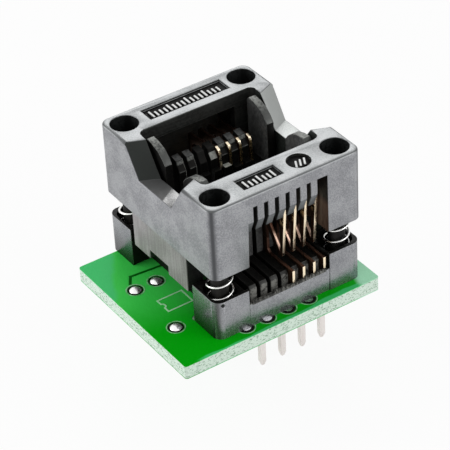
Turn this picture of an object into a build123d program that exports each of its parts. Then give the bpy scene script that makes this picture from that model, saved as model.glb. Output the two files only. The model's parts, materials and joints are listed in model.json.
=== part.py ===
from build123d import *
import os

os.makedirs("parts", exist_ok=True)

# Sizes in millimetres. Features are laid out about the socket axis with the board's top face at
# zero height, and every shape is moved by PLACE when it is written.

# Pitches: contacts of a narrow small-outline package, pins of a dual in-line plug
PITCH = 1.27
PIN_PITCH = 2 * PITCH
ROW_SPACING = 6 * PITCH
SLIP = 0.12

# Circuit board
BOARD_X0 = -13.6
BOARD_RIM = 3.35
BOARD_Y0 = -11.3
BOARD_Y1 = 9.0
BOARD_T = 1.6
BOARD_CORNER_R = 0.3

# Plug field: two rows of eight holes, the last four of each row carry pins
FIELD_X0 = -10.93
FIELD_Y0 = -5.5
FIELD_COUNT = 8
FIELD_EMPTY = 4
PIN_SIDE = 0.6
PIN_TIP_Z = -9.9
PIN_TOP_Z = -0.05
PIN_POINT = 0.55
PIN_POINT_SIDE = 0.3
STRIP_WIDTH = 2.5
STRIP_HEIGHT = 2.5
STRIP_CHAMFER = 0.45
HOLE_R = 0.5
PAD_R = 0.85
PAD_T = 0.035
FILL_DOME = 0.3
FILL_R = 0.62

# Edge row of four plain plated holes under the front wall
EDGE_X0 = -5.35
EDGE_Y = -9.8
EDGE_COUNT = 4
EDGE_FILLED = 2

# Printed package outline in the place of the lettering
PRINT_X0 = -10.2
PRINT_X1 = -7.1
PRINT_Y0 = -3.0
PRINT_Y1 = -0.7
PRINT_LINE = 0.17
PRINT_T = 0.02
PRINT_NOTCH_R = 0.45

# Socket base
BLOCK_LAP = 0.12
BLOCK_Y_IN = 5.75
BLOCK_TOP = 4.55
BLOCK_R = 1.0
RIM_X = 0.25
RIM_Y = 0.42
RIM_IN = 0.5
POCKET_PLAY_OUT = 0.06
POCKET_PLAY_X = 0.32
POCKET_PLAY_Y = 0.48
POCKET_R = 1.1
POCKET_FLOOR = 1.2
INNER_RIM_TOP = 4.1
POST_R = 0.9
POST_PLAY = 0.7
FLOOR_TOP = 2.0
WALL_TOP = 2.73
WALL_SETBACK = 0.1
WALL_T = 0.45
BODY_X = 6.6
BODY_Y = 5.6
SEAT_Y = 2.55
SEAT_TOP = 8.9
END_PLAY = 0.125
END_TOP = 8.9
RIB_PLAY = 0.065
RIB_END = 9.1
RIB_LOW = 4.05
RIB_OUT = 4.85
RIB_IN = 2.85
RIB_TOP = 12.6
FIN_X_IN = 5.75
FIN_Y0 = 1.6
FIN_Y1 = 5.15
FIN_TOP = 15.45
FIN_LOW = 14.2

# Cover, which is pushed down by the travel
TRAVEL = 2.2
COVER_LAP_X = 0.13
COVER_LAP_Y = 0.1
COVER_TOP = 15.8
SKIRT_PLAY = 0.7
COVER_R = 1.0
TOP_EDGE_R = 0.3
OPEN_X = 6.97
OPEN_Y = 5.95
OPEN_R = 0.7
WELL_PLAY = 0.08
CORNER_DEPTH = 5.0
SEAT_WEB = 1.0
WINDOW_PLAY = 0.335
COMB_TOP = 14.35
LIP_Z = 14.15
LIP_Y = 6.9
COMB_T = 0.85
SLOT_W = 0.47
TOOTH_DROP = 1.7
TOOTH_POINT = 1.5
TOOTH_BEVEL = 0.6
LEG_RECESS = 0.1
LEG_X_IN = 7.0
LEG_Y = 5.0
LEG_PLAY = 1.0
LEG_NOTCH_TOP = 4.25
LEG_NOTCH_Y = 0.3
LEG_NOTCH_HALF = 1.7
DIP_FLOOR = 12.35
DIP_OUT_TOP = 5.25
DIP_OUT_LOW = 2.95
DIP_IN_TOP = 4.35
DIP_IN_LOW = 1.9
RECESS_DEPTH = 0.3
LONG_RECESS = (-4.64, 5.01, 7.06, 9.12)
SHORT_RECESS = (-4.19, 0.49, -8.92, -7.03)
ROUND_RECESS = (2.84, -8.06, 1.28)
MARK_W = 0.22
MARK_L = 0.9

# Springs
COIL_OUTER_R = 1.42
WIRE = 0.23
COIL_PITCH = 1.4

# Contacts
CONTACT_T = 0.3
CONTACT_FIRST = 0.5
CONTACTS = 4
FOOT_SETBACK = 0.25
FOOT_START = 4.6
FOOT_TOP = 4.25
NECK_IN = 4.75
NECK_OUT = 5.45
FLEX_Z = 5.9
FLEX_RELIEF = 0.05
TAIL_Y0 = 8.1
TAIL_Y1 = 8.6
TAIL_END = -2.7
TAIL_HOLE_R = 0.4

# Derived
LAST_CONTACT_X = (CONTACT_FIRST + CONTACTS - 1) * PITCH
WINDOW_X = LAST_CONTACT_X + WINDOW_PLAY
END_X = LAST_CONTACT_X + CONTACT_T / 2 + END_PLAY
RIB_T = PITCH - CONTACT_T - 2 * RIB_PLAY
BLOCK_X_IN = WINDOW_X + BLOCK_LAP
BOARD_X1 = FIELD_X0 + (FIELD_COUNT - 1) * PIN_PITCH + BOARD_RIM
HOLE_X = BLOCK_X_IN + RIM_IN + POCKET_PLAY_X + COIL_OUTER_R
HOLE_Y = BLOCK_Y_IN + RIM_IN + POCKET_PLAY_Y + COIL_OUTER_R
BLOCK_X = HOLE_X + COIL_OUTER_R + POCKET_PLAY_OUT + RIM_X
BLOCK_Y = HOLE_Y + COIL_OUTER_R + POCKET_PLAY_OUT + RIM_Y
COVER_X = BLOCK_X + COVER_LAP_X
COVER_Y = BLOCK_Y + COVER_LAP_Y
CORNER_R = COIL_OUTER_R + WELL_PLAY
COMB_Y = COVER_Y - COMB_T
TOOTH_BEND = COMB_TOP - TOOTH_DROP
TOOTH_TIP = TOOTH_BEND - TOOTH_POINT
TOOTH_TIP_Y = COVER_Y - TOOTH_BEVEL
FOOT_END = BLOCK_Y - FOOT_SETBACK
SKIRT_Z = BLOCK_TOP + TRAVEL + SKIRT_PLAY
LEG_BOTTOM = TRAVEL + LEG_PLAY
FIELD_ROWS = (FIELD_Y0, FIELD_Y0 + ROW_SPACING)
SPRING_TOP = COVER_TOP - CORNER_DEPTH - SEAT_WEB
SPRING_HOLE_R = COIL_OUTER_R + SLIP
POST_TOP = SPRING_TOP - TRAVEL - POST_PLAY
CONTACT_X = [(CONTACT_FIRST + i) * PITCH for i in range(CONTACTS)]
RIB_X = [i * PITCH for i in range(-3, 4)]
TAIL_Y = (TAIL_Y0 + TAIL_Y1) / 2
FOOT_STEP = BLOCK_Y - WALL_SETBACK - WALL_T - SLIP
PLACE = Pos(
    -(BOARD_X0 + BOARD_X1) / 2,
    -(BOARD_Y0 + COVER_Y) / 2,
    -PIN_TIP_Z,
)


def block(x0, x1, y0, y1, z0, z1):
    """A box between two corners."""
    return Pos((x0 + x1) / 2, (y0 + y1) / 2, (z0 + z1) / 2) * Box(x1 - x0, y1 - y0, z1 - z0)


def round_block(x0, x1, y0, y1, z0, z1, radius):
    """A box with its four upright edges rounded."""
    face = Pos((x0 + x1) / 2, (y0 + y1) / 2, z0) * RectangleRounded(x1 - x0, y1 - y0, radius)
    return extrude(face, z1 - z0)


def disc(x, y, radius, z0, z1):
    """An upright cylinder between two heights."""
    return Pos(x, y, (z0 + z1) / 2) * Cylinder(radius, z1 - z0)


def side_plate(points, side, x, thickness):
    """A plate across X from a profile of (distance outward, height) on one side of the socket."""
    outline = Polyline(*[(x - thickness / 2, side * u, z) for u, z in points], close=True)
    face = make_face(outline)
    return extrude(face, amount=thickness, dir=(1, 0, 0))


def both_sides(shape):
    """The shape and its mirror image across the XZ plane."""
    return shape + mirror(shape, about=Plane.XZ)


def four_corners(shape):
    """The shape in all four quadrants."""
    half = both_sides(shape)
    return half + mirror(half, about=Plane.YZ)


def write(shape, name):
    """Put the shape in its place and save it."""
    solids = shape.solids()
    body = solids[0] if len(solids) == 1 else shape
    export_step(PLACE * body, "parts/" + name + ".step")
    return body


def make_board():
    """The laminate with all its drilled holes and the shallow beds of the pads."""
    board = block(BOARD_X0, BOARD_X1, BOARD_Y0, BOARD_Y1, -BOARD_T, 0)
    board = fillet(board.edges().filter_by(Axis.Z), BOARD_CORNER_R)
    for y in FIELD_ROWS:
        for i in range(FIELD_COUNT):
            board -= disc(FIELD_X0 + i * PIN_PITCH, y, HOLE_R, -BOARD_T - 1, 1)
    for i in range(EDGE_COUNT):
        board -= disc(EDGE_X0 + i * PIN_PITCH, EDGE_Y, HOLE_R, -BOARD_T - 1, 1)
    for x in CONTACT_X:
        for side in (-1, 1):
            board -= disc(x, side * TAIL_Y, TAIL_HOLE_R, -BOARD_T - 1, 1)
    for x, y in pad_places():
        board -= disc(x, y, PAD_R, -PAD_T, 1)
    return board


def pad_places():
    """Centres of the pads that can be seen beside the socket."""
    left = [(FIELD_X0, FIELD_ROWS[1]), (FIELD_X0 + PIN_PITCH, FIELD_ROWS[1]), (FIELD_X0, FIELD_ROWS[0])]
    return left + [(EDGE_X0 + i * PIN_PITCH, EDGE_Y) for i in range(EDGE_COUNT)]


def make_pad(x, y):
    """A flat plated ring let into the top of the board."""
    return disc(x, y, PAD_R, -PAD_T, 0) - disc(x, y, HOLE_R, -1, 1)


def make_fill(x, y, dome):
    """Solder standing in a hole, with a low dome where there is room above it."""
    plug = disc(x, y, HOLE_R, -BOARD_T, 0)
    if dome > 0:
        ball_r = (FILL_R**2 + dome**2) / (2 * dome)
        cap = Pos(x, y, dome - ball_r) * Sphere(ball_r)
        plug += cap & disc(x, y, FILL_R, 0, dome + 1)
    return plug


def make_header_pin(x, y):
    """A square pin with a tapered point."""
    shank = block(
        x - PIN_SIDE / 2, x + PIN_SIDE / 2, y - PIN_SIDE / 2, y + PIN_SIDE / 2,
        PIN_TIP_Z + PIN_POINT, PIN_TOP_Z,
    )
    wide = Pos(x, y, PIN_TIP_Z + PIN_POINT) * Rectangle(PIN_SIDE, PIN_SIDE)
    narrow = Pos(x, y, PIN_TIP_Z) * Rectangle(PIN_POINT_SIDE, PIN_POINT_SIDE)
    return shank + loft([wide, narrow])


def make_strip(y):
    """The insulator of one row: linked chamfered blocks, one to a pin."""
    x0 = FIELD_X0 + FIELD_EMPTY * PIN_PITCH
    top = -BOARD_T
    strip = None
    for i in range(FIELD_COUNT - FIELD_EMPTY):
        x = x0 + i * PIN_PITCH
        half = PIN_PITCH / 2
        cell = block(x - half, x + half, y - STRIP_WIDTH / 2, y + STRIP_WIDTH / 2, top - STRIP_HEIGHT, top)
        cell = chamfer(cell.edges().filter_by(Axis.Z), STRIP_CHAMFER)
        strip = cell if strip is None else strip + cell
    for i in range(FIELD_COUNT - FIELD_EMPTY):
        x = x0 + i * PIN_PITCH
        reach = PIN_SIDE / 2
        strip -= block(x - reach, x + reach, y - reach, y + reach, top - STRIP_HEIGHT - 1, top + 1)
    return strip


def make_print():
    """A printed package outline with its end notch, raised by the thickness of the ink."""
    outer = block(PRINT_X0, PRINT_X1, PRINT_Y0, PRINT_Y1, 0, PRINT_T)
    inner = block(
        PRINT_X0 + PRINT_LINE, PRINT_X1 - PRINT_LINE, PRINT_Y0 + PRINT_LINE, PRINT_Y1 - PRINT_LINE, -1, 1,
    )
    middle = (PRINT_Y0 + PRINT_Y1) / 2
    ring = disc(PRINT_X0, middle, PRINT_NOTCH_R, 0, PRINT_T)
    ring -= disc(PRINT_X0, middle, PRINT_NOTCH_R - PRINT_LINE, -1, 1)
    outline = outer - inner
    outline -= block(
        PRINT_X0 - 1, PRINT_X0 + PRINT_LINE, middle - PRINT_NOTCH_R + PRINT_LINE,
        middle + PRINT_NOTCH_R - PRINT_LINE, -1, 1,
    )
    outline += ring & block(PRINT_X0, PRINT_X0 + 2, middle - 2, middle + 2, 0, PRINT_T)
    return outline


def make_corner_block():
    """One corner of the base: thin outer rims round an open spring pocket with its guide post."""
    body = block(BLOCK_X_IN, BLOCK_X, BLOCK_Y_IN, BLOCK_Y, 0, BLOCK_TOP)
    outer_edge = body.edges().filter_by(Axis.Z).sort_by(lambda e: e.center().X + e.center().Y)[-1]
    body = fillet(outer_edge, BLOCK_R)
    pocket = block(
        BLOCK_X_IN + RIM_IN, BLOCK_X - RIM_X, BLOCK_Y_IN + RIM_IN, BLOCK_Y - RIM_Y, POCKET_FLOOR, BLOCK_TOP + 1,
    )
    pocket = fillet(pocket.edges().filter_by(Axis.Z), POCKET_R)
    body -= pocket
    body -= block(
        BLOCK_X_IN - 1, BLOCK_X_IN + RIM_IN + POCKET_R, BLOCK_Y_IN + RIM_IN, BLOCK_Y - RIM_Y,
        INNER_RIM_TOP, BLOCK_TOP + 1,
    )
    post = disc(HOLE_X, HOLE_Y, POST_R, POCKET_FLOOR - 0.5, POST_TOP)
    body += chamfer(post.edges().sort_by(Axis.Z)[-1], 0.3)
    return body


def rib_profile():
    """Outline of a divider between two contacts, as distance outward and height."""
    return [
        (SEAT_Y - 0.3, FLOOR_TOP - 0.5),
        (RIB_END, FLOOR_TOP - 0.5),
        (RIB_END, RIB_LOW - 0.3),
        (RIB_END - 0.25, RIB_LOW),
        (RIB_OUT, RIB_LOW),
        (RIB_OUT, RIB_TOP - 1.7),
        (RIB_OUT - 0.45, RIB_TOP),
        (RIB_IN + 0.6, RIB_TOP - 0.18),
        (RIB_IN + 0.45, RIB_TOP - 0.65),
        (RIB_IN, RIB_TOP - 1.3),
        (RIB_IN, SEAT_TOP - 0.1),
        (SEAT_Y - 0.3, SEAT_TOP - 0.5),
    ]


def make_fin():
    """One tall guide beside the package seat, with a rounded falling crest."""
    outline = [
        (FIN_Y0, END_TOP - 1),
        (FIN_Y1, END_TOP - 1),
        (FIN_Y1, FIN_TOP - 0.35),
        (FIN_Y1 - 0.35, FIN_TOP),
        (FIN_Y1 - 1.3, FIN_TOP - 0.12),
        (FIN_Y1 - 2.3, FIN_TOP - 0.45),
        (FIN_Y0 + 0.45, FIN_LOW + 0.15),
        (FIN_Y0, FIN_LOW - 0.45),
    ]
    middle = (FIN_X_IN + BODY_X) / 2
    fin = side_plate(outline, 1, middle, BODY_X - FIN_X_IN)
    return fin


def make_base():
    """The fixed moulding of the socket."""
    wall_y = BLOCK_Y - WALL_SETBACK
    base = block(-BODY_X, BODY_X, -BODY_Y, BODY_Y, 0, FLOOR_TOP)
    base += block(-BLOCK_X_IN - 0.2, BLOCK_X_IN + 0.2, -wall_y, wall_y, 0, FLOOR_TOP)
    base += block(-BODY_X, BODY_X, -BLOCK_Y_IN - 0.2, BLOCK_Y_IN + 0.2, 0, FLOOR_TOP)
    base += both_sides(block(-BLOCK_X_IN - 0.2, BLOCK_X_IN + 0.2, wall_y - WALL_T, wall_y, 0, WALL_TOP))
    base += block(-BODY_X, BODY_X, -SEAT_Y, SEAT_Y, 0, SEAT_TOP)
    ends = block(END_X, BODY_X, -BODY_Y, BODY_Y, 0, END_TOP)
    base += ends + mirror(ends, about=Plane.YZ)
    base += four_corners(make_corner_block())
    for x in RIB_X:
        base += both_sides(side_plate(rib_profile(), 1, x, RIB_T))
    base += four_corners(make_fin())
    for x in CONTACT_X:
        slit = block(
            x - CONTACT_T / 2 - 0.03, x + CONTACT_T / 2 + 0.03, TAIL_Y0 - 0.03, TAIL_Y1 + 0.03, -1, FLOOR_TOP + 0.01,
        )
        base -= both_sides(slit)
    return base


def tooth_profile():
    """Outline of a comb tooth of the cover, as distance outward and height."""
    return [
        (COVER_Y, COMB_TOP + 0.2),
        (COVER_Y, TOOTH_BEND),
        (TOOTH_TIP_Y, TOOTH_TIP),
        (COMB_Y, TOOTH_TIP),
        (COMB_Y, COMB_TOP + 0.2),
    ]


def make_comb():
    """Seven teeth under the front bar; the eighth place stays open."""
    comb = None
    for i in range(7):
        x = (i - 3.5) * PITCH
        left = x - (PITCH - SLOT_W) / 2
        right = x + (PITCH - SLOT_W) / 2
        if i == 0:
            left = -WINDOW_X - 0.2
        tooth = side_plate(tooth_profile(), -1, (left + right) / 2, right - left)
        comb = tooth if comb is None else comb + tooth
    return comb


def make_side_dip():
    """The finger notch of one side wall, narrower on its inner face."""
    rise = COVER_TOP + 0.5
    out_step = (DIP_OUT_TOP - DIP_OUT_LOW) / (COVER_TOP - DIP_FLOOR) * (rise - DIP_FLOOR)
    in_step = (DIP_IN_TOP - DIP_IN_LOW) / (COVER_TOP - DIP_FLOOR) * (rise - DIP_FLOOR)
    faces = []
    for x, low, step in ((OPEN_X, DIP_IN_LOW, in_step), (COVER_X, DIP_OUT_LOW, out_step)):
        points = [(x, -low, DIP_FLOOR), (x, low, DIP_FLOOR), (x, low + step, rise), (x, -low - step, rise)]
        faces.append(make_face(Polyline(*points, close=True)))
    return loft(faces)


def make_marks():
    """Plain raised strokes in the recesses of the bars, level with the top."""
    marks = []
    x0, x1, y0, y1 = LONG_RECESS
    z0 = COVER_TOP - RECESS_DEPTH - 0.05
    z1 = COVER_TOP - 0.02
    for i in range(16):
        x = x0 + 0.5 + i * 0.535
        length = MARK_L if i % 4 else MARK_L * 1.35
        marks.append(block(x, x + MARK_W, y0 + 0.22, y0 + 0.22 + length, z0, z1))
    x0, x1, y0, y1 = SHORT_RECESS
    for i in range(7):
        x = x0 + 0.55 + i * 0.535
        length = MARK_L if i % 3 else MARK_L * 1.3
        marks.append(block(x, x + MARK_W, y0 + 0.2, y0 + 0.2 + length, z0, z1))
    cx, cy, radius = ROUND_RECESS
    for i in (-1, 0, 1):
        bar = Pos(cx + i * 0.5, cy - 0.3, (z0 + z1) / 2) * Rot(0, 0, -28) * Box(MARK_W, 1.15, z1 - z0)
        marks.append(bar)
    return marks


def make_cover():
    """The sprung frame that is pushed down to open the contacts."""
    cover = round_block(-COVER_X, COVER_X, -COVER_Y, COVER_Y, SKIRT_Z, COVER_TOP, COVER_R)
    top_rim = cover.faces().sort_by(Axis.Z)[-1].edges()
    cover = fillet(top_rim, TOP_EDGE_R)
    cover -= round_block(-OPEN_X, OPEN_X, -OPEN_Y, OPEN_Y, SKIRT_Z - 1, COVER_TOP + 1, OPEN_R)
    cover -= block(-WINDOW_X, WINDOW_X, -COMB_Y, COMB_Y, SKIRT_Z - 1, COMB_TOP)
    cover -= block(-WINDOW_X, WINDOW_X, -COVER_Y - 1, 0, SKIRT_Z - 1, COMB_TOP)
    cover += both_sides(block(-WINDOW_X - 0.2, WINDOW_X + 0.2, OPEN_Y, LIP_Y, LIP_Z, COMB_TOP + 0.2))
    cover += make_comb()
    for side in (-1, 1):
        leg = block(LEG_X_IN, COVER_X - LEG_RECESS, -LEG_Y, LEG_Y, LEG_BOTTOM, SKIRT_Z + 1)
        low = block(
            LEG_X_IN - 1, COVER_X + 1, LEG_NOTCH_Y - LEG_NOTCH_HALF, LEG_NOTCH_Y + LEG_NOTCH_HALF,
            LEG_BOTTOM - 1, LEG_NOTCH_TOP,
        )
        leg -= low
        dip = make_side_dip()
        if side < 0:
            leg = Rot(0, 0, 180) * leg
            leg = mirror(leg, about=Plane.XZ)
            dip = mirror(dip, about=Plane.YZ)
        cover += leg
        cover -= dip
    for sx in (-1, 1):
        for sy in (-1, 1):
            cover -= disc(sx * HOLE_X, sy * HOLE_Y, CORNER_R, COVER_TOP - CORNER_DEPTH, COVER_TOP + 1)
            cover -= disc(sx * HOLE_X, sy * HOLE_Y, SPRING_HOLE_R, SKIRT_Z - 1, SPRING_TOP)
    for x0, x1, y0, y1 in (LONG_RECESS, SHORT_RECESS):
        cover -= block(x0, x1, y0, y1, COVER_TOP - RECESS_DEPTH, COVER_TOP + 1)
    cx, cy, radius = ROUND_RECESS
    cover -= disc(cx, cy, radius, COVER_TOP - RECESS_DEPTH, COVER_TOP + 1)
    for mark in make_marks():
        cover += mark
    return cover


def make_spring(sx, sy):
    """A round-wire compression spring between the pocket floor and the cover."""
    low = POCKET_FLOOR + WIRE / 2
    height = SPRING_TOP - WIRE / 2 - low
    radius = COIL_OUTER_R - WIRE / 2
    turns = round(height / COIL_PITCH * 2) / 2
    path = Helix(pitch=height / turns, height=height, radius=radius)
    start = Plane(path @ 0, z_dir=path % 0)
    coil = sweep(start * Circle(WIRE / 2), path, is_frenet=True)
    return Pos(sx * HOLE_X, sy * HOLE_Y, low) * coil


def foot_profile():
    """Fixed part of a contact: tail through the board, foot along its channel, lower neck."""
    return [
        (TAIL_Y0, TAIL_END),
        (TAIL_Y1, TAIL_END),
        (TAIL_Y1, FLOOR_TOP),
        (FOOT_STEP, FLOOR_TOP),
        (FOOT_STEP, WALL_TOP + SLIP),
        (FOOT_END, WALL_TOP + SLIP),
        (FOOT_END, FOOT_TOP),
        (NECK_OUT + 0.3, FOOT_TOP),
        (NECK_OUT, FOOT_TOP + 0.3),
        (NECK_OUT, FLEX_Z),
        (NECK_IN, FLEX_Z),
        (NECK_IN, FOOT_TOP - 0.3),
        (FOOT_START, FOOT_TOP - 0.7),
        (FOOT_START, FLOOR_TOP),
        (TAIL_Y0, FLOOR_TOP),
    ]


def arm_profile():
    """Moving part of a contact: neck, head with its nose, outer lever and slanted brace."""
    return [
        (NECK_IN, FLEX_Z + FLEX_RELIEF),
        ((NECK_IN + NECK_OUT) / 2, FLEX_Z),
        (NECK_OUT, FLEX_Z + FLEX_RELIEF),
        (NECK_OUT, 7.6),
        (7.2, 5.2),
        (7.5, 5.0),
        (8.0, 5.1),
        (8.15, 5.35),
        (8.65, 11.1),
        (8.3, 11.4),
        (6.4, 11.5),
        (4.6, 12.0),
        (3.4, 12.3),
        (2.95, 12.15),
        (2.75, 11.8),
        (2.62, 9.35),
        (2.72, 9.1),
        (3.0, 9.1),
        (3.15, 9.4),
        (3.3, 10.5),
        (3.8, 10.85),
        (4.45, 10.6),
        (NECK_IN, 9.9),
    ]


def arm_window():
    """The open triangle between lever and brace."""
    return [(7.72, 5.6), (7.87, 10.2), (7.5, 10.55), (5.8, 10.6), (5.5, 10.2), (5.5, 8.8)]


def make_foot(x, side):
    """The fixed part of the contact at x."""
    return side_plate(foot_profile(), side, x, CONTACT_T)


def make_arm(x, side):
    """The moving part of the contact at x."""
    arm = side_plate(arm_profile(), side, x, CONTACT_T)
    return arm - side_plate(arm_window(), side, x, CONTACT_T + 1)


board = write(make_board(), "circuit_board")
for index, (px, py) in enumerate(pad_places()):
    write(make_pad(px, py), "pad_%d" % (index + 1))
for index, (px, py) in enumerate(pad_places()[: 3 + EDGE_FILLED]):
    write(make_fill(px, py, FILL_DOME if index < 3 else 0), "solder_%d" % (index + 1))
for row, ry in enumerate(FIELD_ROWS):
    label = ("front", "rear")[row]
    write(make_strip(ry), "header_strip_" + label)
    for index in range(FIELD_COUNT - FIELD_EMPTY):
        px = FIELD_X0 + (FIELD_EMPTY + index) * PIN_PITCH
        write(make_header_pin(px, ry), "header_pin_%s_%d" % (label, index + 1))
write(make_print(), "printed_outline")
write(make_base(), "socket_base")
write(make_cover(), "cover")
for name, sx, sy in (("front_left", -1, -1), ("front_right", 1, -1), ("rear_left", -1, 1), ("rear_right", 1, 1)):
    write(make_spring(sx, sy), "spring_" + name)
for side, label in ((-1, "front"), (1, "rear")):
    for index, cx in enumerate(CONTACT_X):
        write(make_foot(cx, side), "contact_foot_%s_%d" % (label, index + 1))
        write(make_arm(cx, side), "contact_arm_%s_%d" % (label, index + 1))
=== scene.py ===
"""Looks of an open-top test socket on a small adapter board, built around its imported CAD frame."""

import json
import logging
import math
from dataclasses import dataclass
from enum import Enum, IntEnum
from typing import Callable, Union

import bmesh
import bpy
from mathutils import Matrix, Vector, noise

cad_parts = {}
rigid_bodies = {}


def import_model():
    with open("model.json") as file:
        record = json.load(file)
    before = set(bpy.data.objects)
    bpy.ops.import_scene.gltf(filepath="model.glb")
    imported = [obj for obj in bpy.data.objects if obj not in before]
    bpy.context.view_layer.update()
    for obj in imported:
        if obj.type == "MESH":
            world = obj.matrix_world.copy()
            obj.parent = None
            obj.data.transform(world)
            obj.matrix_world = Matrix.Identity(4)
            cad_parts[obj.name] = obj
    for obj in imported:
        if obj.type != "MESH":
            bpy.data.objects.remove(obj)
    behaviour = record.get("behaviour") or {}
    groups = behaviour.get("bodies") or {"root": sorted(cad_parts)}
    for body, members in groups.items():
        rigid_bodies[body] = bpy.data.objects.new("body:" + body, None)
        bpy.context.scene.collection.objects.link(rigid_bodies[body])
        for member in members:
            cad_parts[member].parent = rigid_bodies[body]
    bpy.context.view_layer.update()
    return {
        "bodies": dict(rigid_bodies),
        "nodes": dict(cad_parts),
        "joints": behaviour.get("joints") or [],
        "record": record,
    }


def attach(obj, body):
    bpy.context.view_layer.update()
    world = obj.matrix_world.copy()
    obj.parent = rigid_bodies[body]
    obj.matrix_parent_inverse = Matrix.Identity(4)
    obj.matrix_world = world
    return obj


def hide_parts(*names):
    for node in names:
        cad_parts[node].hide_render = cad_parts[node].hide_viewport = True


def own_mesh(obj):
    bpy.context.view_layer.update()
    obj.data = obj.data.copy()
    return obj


LOG = logging.getLogger("socket_scene")
MM = 0.001
# The socket's axis at the top of the board, in millimetres of the row frame
PLACE = (1.7, 0.575, 9.9)
WHITE = (1.0, 1.0, 1.0, 1.0)
Colour = tuple[float, float, float, float]
Tone = tuple[int, int, int]


def at(x: float, y: float, z: float) -> Vector:
    """A point given in millimetres about the socket axis, as a point of the row frame in metres."""
    return Vector([(v + place) * MM for v, place in zip((x, y, z), PLACE)])


def shade(red: int, green: int, blue: int) -> Colour:
    """A linear colour from its 0 to 255 display values.

    Args:
        red: Red on the 0 to 255 scale.
        green: Green on the same scale.
        blue: Blue on the same scale.

    Returns:
        The linear colour with full alpha.
    """
    parts = [v / 255 for v in (red, green, blue)]
    line = [p / 12.92 if p <= 0.04045 else ((p + 0.055) / 1.055) ** 2.4 for p in parts]
    return (line[0], line[1], line[2], 1.0)


def outward(c: Vector, n: Vector) -> float:
    """How far a face looks away from the middle of the socket along Y, from its centre and normal."""
    return n.y * math.copysign(1.0, c.y)


class Body(Enum):
    """The moving bodies of the frame."""

    ADAPTER = "adapter"
    COVER = "cover"
    FRONT = "front_contacts"
    REAR = "rear_contacts"


class Corner(Enum):
    """The four spring corners, as signs of X and Y."""

    FRONT_LEFT = (-1, -1)
    FRONT_RIGHT = (1, -1)
    REAR_LEFT = (-1, 1)
    REAR_RIGHT = (1, 1)


class CoverFace(IntEnum):
    """Faces of the cover that differ in finish, in the order of its materials."""

    OUTER = 0
    INNER = 1
    NOTCH = 2
    RECESS = 3
    STROKE = 4
    LEG = 5
    JAMB = 6
    BAR = 7
    NOTCH_FLOOR = 8
    WELL = 9
    TOP = 10
    TOOTH = 11
    PAINTED_LIGHT_NOTCH = 12


class BaseFace(IntEnum):
    """Faces of the base that differ in finish, in the order of its materials."""

    OUTER = 0
    BLACK = 1
    HEAD = 2
    CREST = 3
    RAGGED_LIT_END = 4
    PALE = 5
    SIDE = 6


class StampedFace(IntEnum):
    """Faces of a contact that differ in finish, in the order of its materials."""

    GOLD = 0
    FLANK = 1
    EDGE = 2
    BRACE = 3
    WORN = 4


Value = Union["Wire", float, int, Colour, Vector]


class Wire:
    """A shader socket that works in Python sums; each sum adds its Math node."""

    def __init__(self, graph: "Graph", socket: bpy.types.NodeSocket) -> None:
        """Keep the graph and the socket that is wrapped."""
        self.graph = graph
        self.socket = socket

    def _math(self, operation: str, first: Value, second: Value) -> "Wire":
        """One Math node on two values."""
        return self.graph.add("ShaderNodeMath", {"operation": operation}, {0: first, 1: second})

    def __add__(self, other: Value) -> "Wire":
        """self + other."""
        return self._math("ADD", self, other)

    def __radd__(self, other: Value) -> "Wire":
        """other + self."""
        return self._math("ADD", other, self)

    def __sub__(self, other: Value) -> "Wire":
        """self - other."""
        return self._math("SUBTRACT", self, other)

    def __rsub__(self, other: Value) -> "Wire":
        """other - self."""
        return self._math("SUBTRACT", other, self)

    def __mul__(self, other: Value) -> "Wire":
        """self * other."""
        return self._math("MULTIPLY", self, other)

    def __rmul__(self, other: Value) -> "Wire":
        """other * self."""
        return self._math("MULTIPLY", other, self)

    def __truediv__(self, other: Value) -> "Wire":
        """self / other."""
        return self._math("DIVIDE", self, other)

    def __gt__(self, other: Value) -> "Wire":
        """1 where self is greater than other, else 0."""
        return self._math("GREATER_THAN", self, other)

    def __lt__(self, other: Value) -> "Wire":
        """1 where self is less than other, else 0."""
        return self._math("LESS_THAN", self, other)

    def __or__(self, other: Value) -> "Wire":
        """The greater of two masks."""
        return self._math("MAXIMUM", self, other)

    def __and__(self, other: Value) -> "Wire":
        """The lesser of two masks."""
        return self._math("MINIMUM", self, other)

    def size(self) -> "Wire":
        """The value without its sign."""
        return self.graph.add("ShaderNodeMath", {"operation": "ABSOLUTE"}, {0: self})

    def beside(self, output: str | int) -> "Wire":
        """Another output of the same node."""
        return Wire(self.graph, self.socket.node.outputs[output])


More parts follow.
